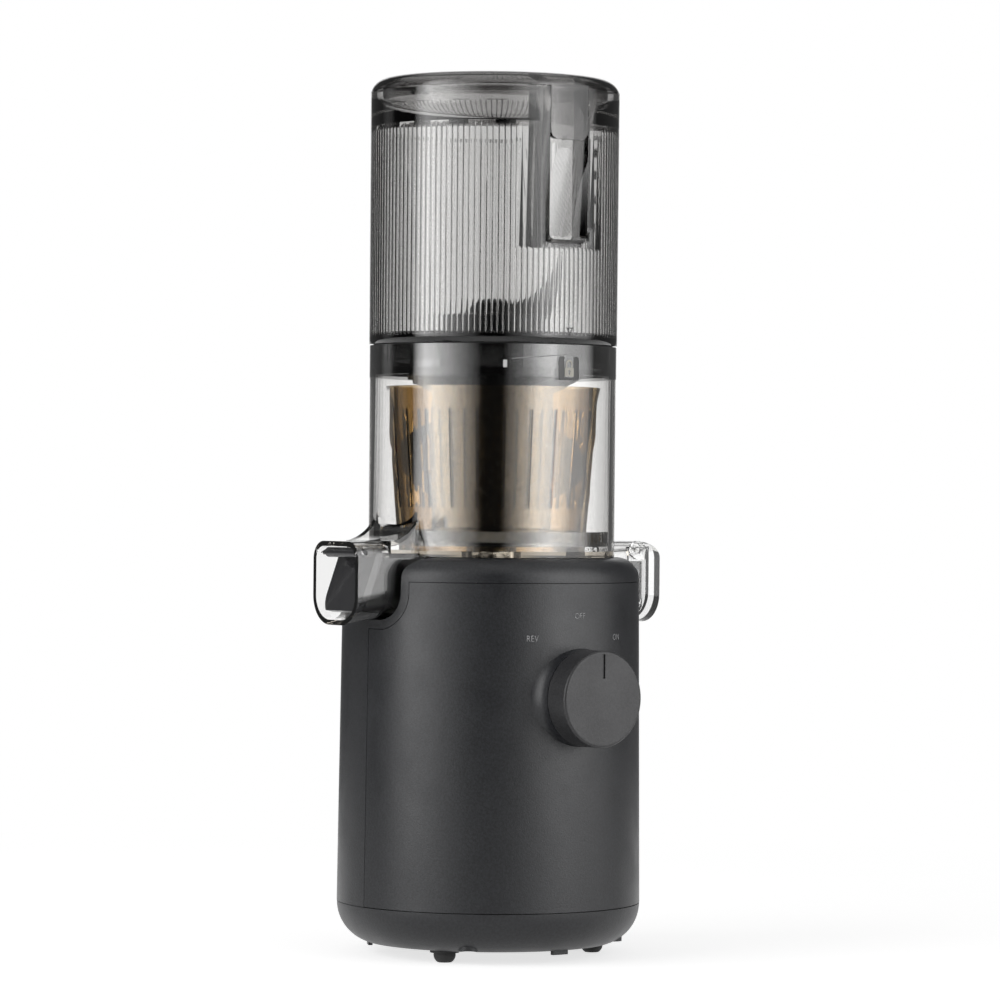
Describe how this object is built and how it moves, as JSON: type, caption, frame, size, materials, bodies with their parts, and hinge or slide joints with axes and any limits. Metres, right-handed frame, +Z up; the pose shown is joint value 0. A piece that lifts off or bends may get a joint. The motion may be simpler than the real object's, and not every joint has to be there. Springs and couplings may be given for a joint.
{
  "type": "cold press juicer",
  "caption": "Vertical cold press juicer: drum base with knob, clear chamber with spout, pulp outlet, strainers and auger, tall smoked hopper with hinged lid.",
  "frame": {"origin": "drum axis at the level the feet stand on", "axes": "+Z up along the drum axis; -Y is the front with the knob; -X is the juice spout, +X the pulp outlet"},
  "size_m": [0.1942, 0.1775, 0.453],
  "materials": {
    "housing": "fine-grained charcoal",
    "knob": "fine-grained charcoal",
    "clear": "clear copolyester, polished",
    "smoke": "smoke-tinted copolyester, polished",
    "amber": "amber polyetherimide",
    "dark_gloss": "polished dark plastic",
    "silicone": "soft silicone",
    "rubber": "moulded rubber",
    "steel": "zinc-plated or ground steel",
    "gear_steel": "sintered steel",
    "gear_plastic": "natural acetal",
    "alloy": "die-cast",
    "bronze": "sintered bronze",
    "copper": "enamelled copper wire",
    "board": "glass-fibre board",
    "black_plastic": "moulded"
  },
  "bodies": {
    "base": {"rear_housing": "housing", "front_panel": "housing", "bottom_cover": "housing", "rubber_feet": "rubber", "cover_screws": "steel", "cord_gland": "rubber", "shaft_seal": "rubber", "rotary_switch": "black_plastic", "switch_nut": "steel", "motor_can": "steel", "motor_end_plate": "alloy", "motor_bearings": "steel", "motor_screws": "steel", "stator_core": "steel", "stator_windings": "copper", "gearbox_housing": "gear_plastic", "gearbox_lid": "alloy", "gearbox_screws": "steel", "output_bushing": "bronze", "control_board": "board", "board_screws": "steel", "board_relay": "black_plastic", "board_capacitor": "gear_plastic", "safety_switch": "black_plastic"},
    "rotor": {"rotor_core": "steel", "motor_shaft": "steel", "motor_pinion": "gear_steel", "cooling_fan": "black_plastic"},
    "stage_one": {"first_carrier": "gear_plastic", "second_sun": "gear_steel"},
    "output": {"output_carrier": "gear_steel", "drive_shaft": "steel"},
    "knob": {"control_knob": "knob", "switch_shaft": "steel"},
    "chamber": {"chamber_bowl": "clear", "chamber_seal": "silicone", "outer_strainer": "amber", "inner_strainer": "amber", "strainer_ring": "smoke"},
    "auger": {"auger_screw": "dark_gloss", "auger_sleeve": "steel", "cutting_wing": "dark_gloss"},
    "juice_flap": {"juice_cap": "dark_gloss", "juice_plug": "silicone"},
    "pulp_flap": {"pulp_cap": "clear", "pulp_plug": "silicone"},
    "hopper": {"hopper": "smoke", "collar_seal": "silicone", "lid_hinge_pin": "steel"},
    "lid": {"lid": "smoke"},
    "first_planet_1": {"first_planet_1": "gear_plastic"},
    "second_planet_1": {"second_planet_1": "gear_steel"},
    "first_planet_2": {"first_planet_2": "gear_plastic"},
    "second_planet_2": {"second_planet_2": "gear_steel"},
    "first_planet_3": {"first_planet_3": "gear_plastic"},
    "second_planet_3": {"second_planet_3": "gear_steel"}
  },
  "joints": [
    {"name": "motor_spin", "type": "hinge", "parent": "base", "child": "rotor", "pos_m": [0, 0, 0.11], "axis": [0, 0, 1], "continuous": true},
    {"name": "stage_one_spin", "type": "hinge", "parent": "base", "child": "stage_one", "pos_m": [0, 0, 0.16], "axis": [0, 0, 1], "continuous": true},
    {"name": "output_spin", "type": "hinge", "parent": "base", "child": "output", "pos_m": [0, 0, 0.19], "axis": [0, 0, 1], "continuous": true},
    {"name": "auger_spin", "type": "hinge", "parent": "chamber", "child": "auger", "pos_m": [0, 0, 0.22], "axis": [0, 0, 1], "continuous": true},
    {"name": "knob_turn", "type": "hinge", "parent": "base", "child": "knob", "pos_m": [0, -0.09, 0.1356], "axis": [0, 1, 0], "range_deg": [-40, 40]},
    {"name": "chamber_lift", "type": "slide", "parent": "base", "child": "chamber", "axis": [0, 0, 1], "range_m": [0, 0.06]},
    {"name": "hopper_twist", "type": "hinge", "parent": "chamber", "child": "hopper", "pos_m": [0, 0, 0.31], "axis": [0, 0, 1], "range_deg": [-34, 0]},
    {"name": "lid_hinge", "type": "hinge", "parent": "hopper", "child": "lid", "pos_m": [0, 0.066, 0.446], "axis": [-1, 0, 0], "range_deg": [0, 100]},
    {"name": "juice_cap_hinge", "type": "hinge", "parent": "chamber", "child": "juice_flap", "pos_m": [-0.0932, 0, 0.2081], "axis": [0, 1, 0], "range_deg": [0, 75]},
    {"name": "pulp_cap_hinge", "type": "hinge", "parent": "chamber", "child": "pulp_flap", "pos_m": [0.0816, 0, 0.2094], "axis": [0, -1, 0], "range_deg": [0, 78]},
    {"name": "first_planet_1_spin", "type": "hinge", "parent": "stage_one", "child": "first_planet_1", "pos_m": [0.018, 0, 0.16], "axis": [0, 0, 1], "continuous": true},
    {"name": "second_planet_1_spin", "type": "hinge", "parent": "output", "child": "second_planet_1", "pos_m": [0.018, 0, 0.178], "axis": [0, 0, 1], "continuous": true},
    {"name": "first_planet_2_spin", "type": "hinge", "parent": "stage_one", "child": "first_planet_2", "pos_m": [-0.009, 0.01559, 0.16], "axis": [0, 0, 1], "continuous": true},
    {"name": "second_planet_2_spin", "type": "hinge", "parent": "output", "child": "second_planet_2", "pos_m": [-0.009, 0.01559, 0.178], "axis": [0, 0, 1], "continuous": true},
    {"name": "first_planet_3_spin", "type": "hinge", "parent": "stage_one", "child": "first_planet_3", "pos_m": [-0.009, -0.01559, 0.16], "axis": [0, 0, 1], "continuous": true},
    {"name": "second_planet_3_spin", "type": "hinge", "parent": "output", "child": "second_planet_3", "pos_m": [-0.009, -0.01559, 0.178], "axis": [0, 0, 1], "continuous": true}
  ],
  "couplings": [
    {"joint": "stage_one_spin", "follows": "motor_spin", "ratio": 0.16667},
    {"joint": "output_spin", "follows": "motor_spin", "ratio": 0.027778},
    {"joint": "auger_spin", "follows": "motor_spin", "ratio": 0.027778},
    {"joint": "first_planet_1_spin", "follows": "motor_spin", "ratio": -0.41667},
    {"joint": "second_planet_1_spin", "follows": "motor_spin", "ratio": -0.069444},
    {"joint": "first_planet_2_spin", "follows": "motor_spin", "ratio": -0.41667},
    {"joint": "second_planet_2_spin", "follows": "motor_spin", "ratio": -0.069444},
    {"joint": "first_planet_3_spin", "follows": "motor_spin", "ratio": -0.41667},
    {"joint": "second_planet_3_spin", "follows": "motor_spin", "ratio": -0.069444}
  ]
}
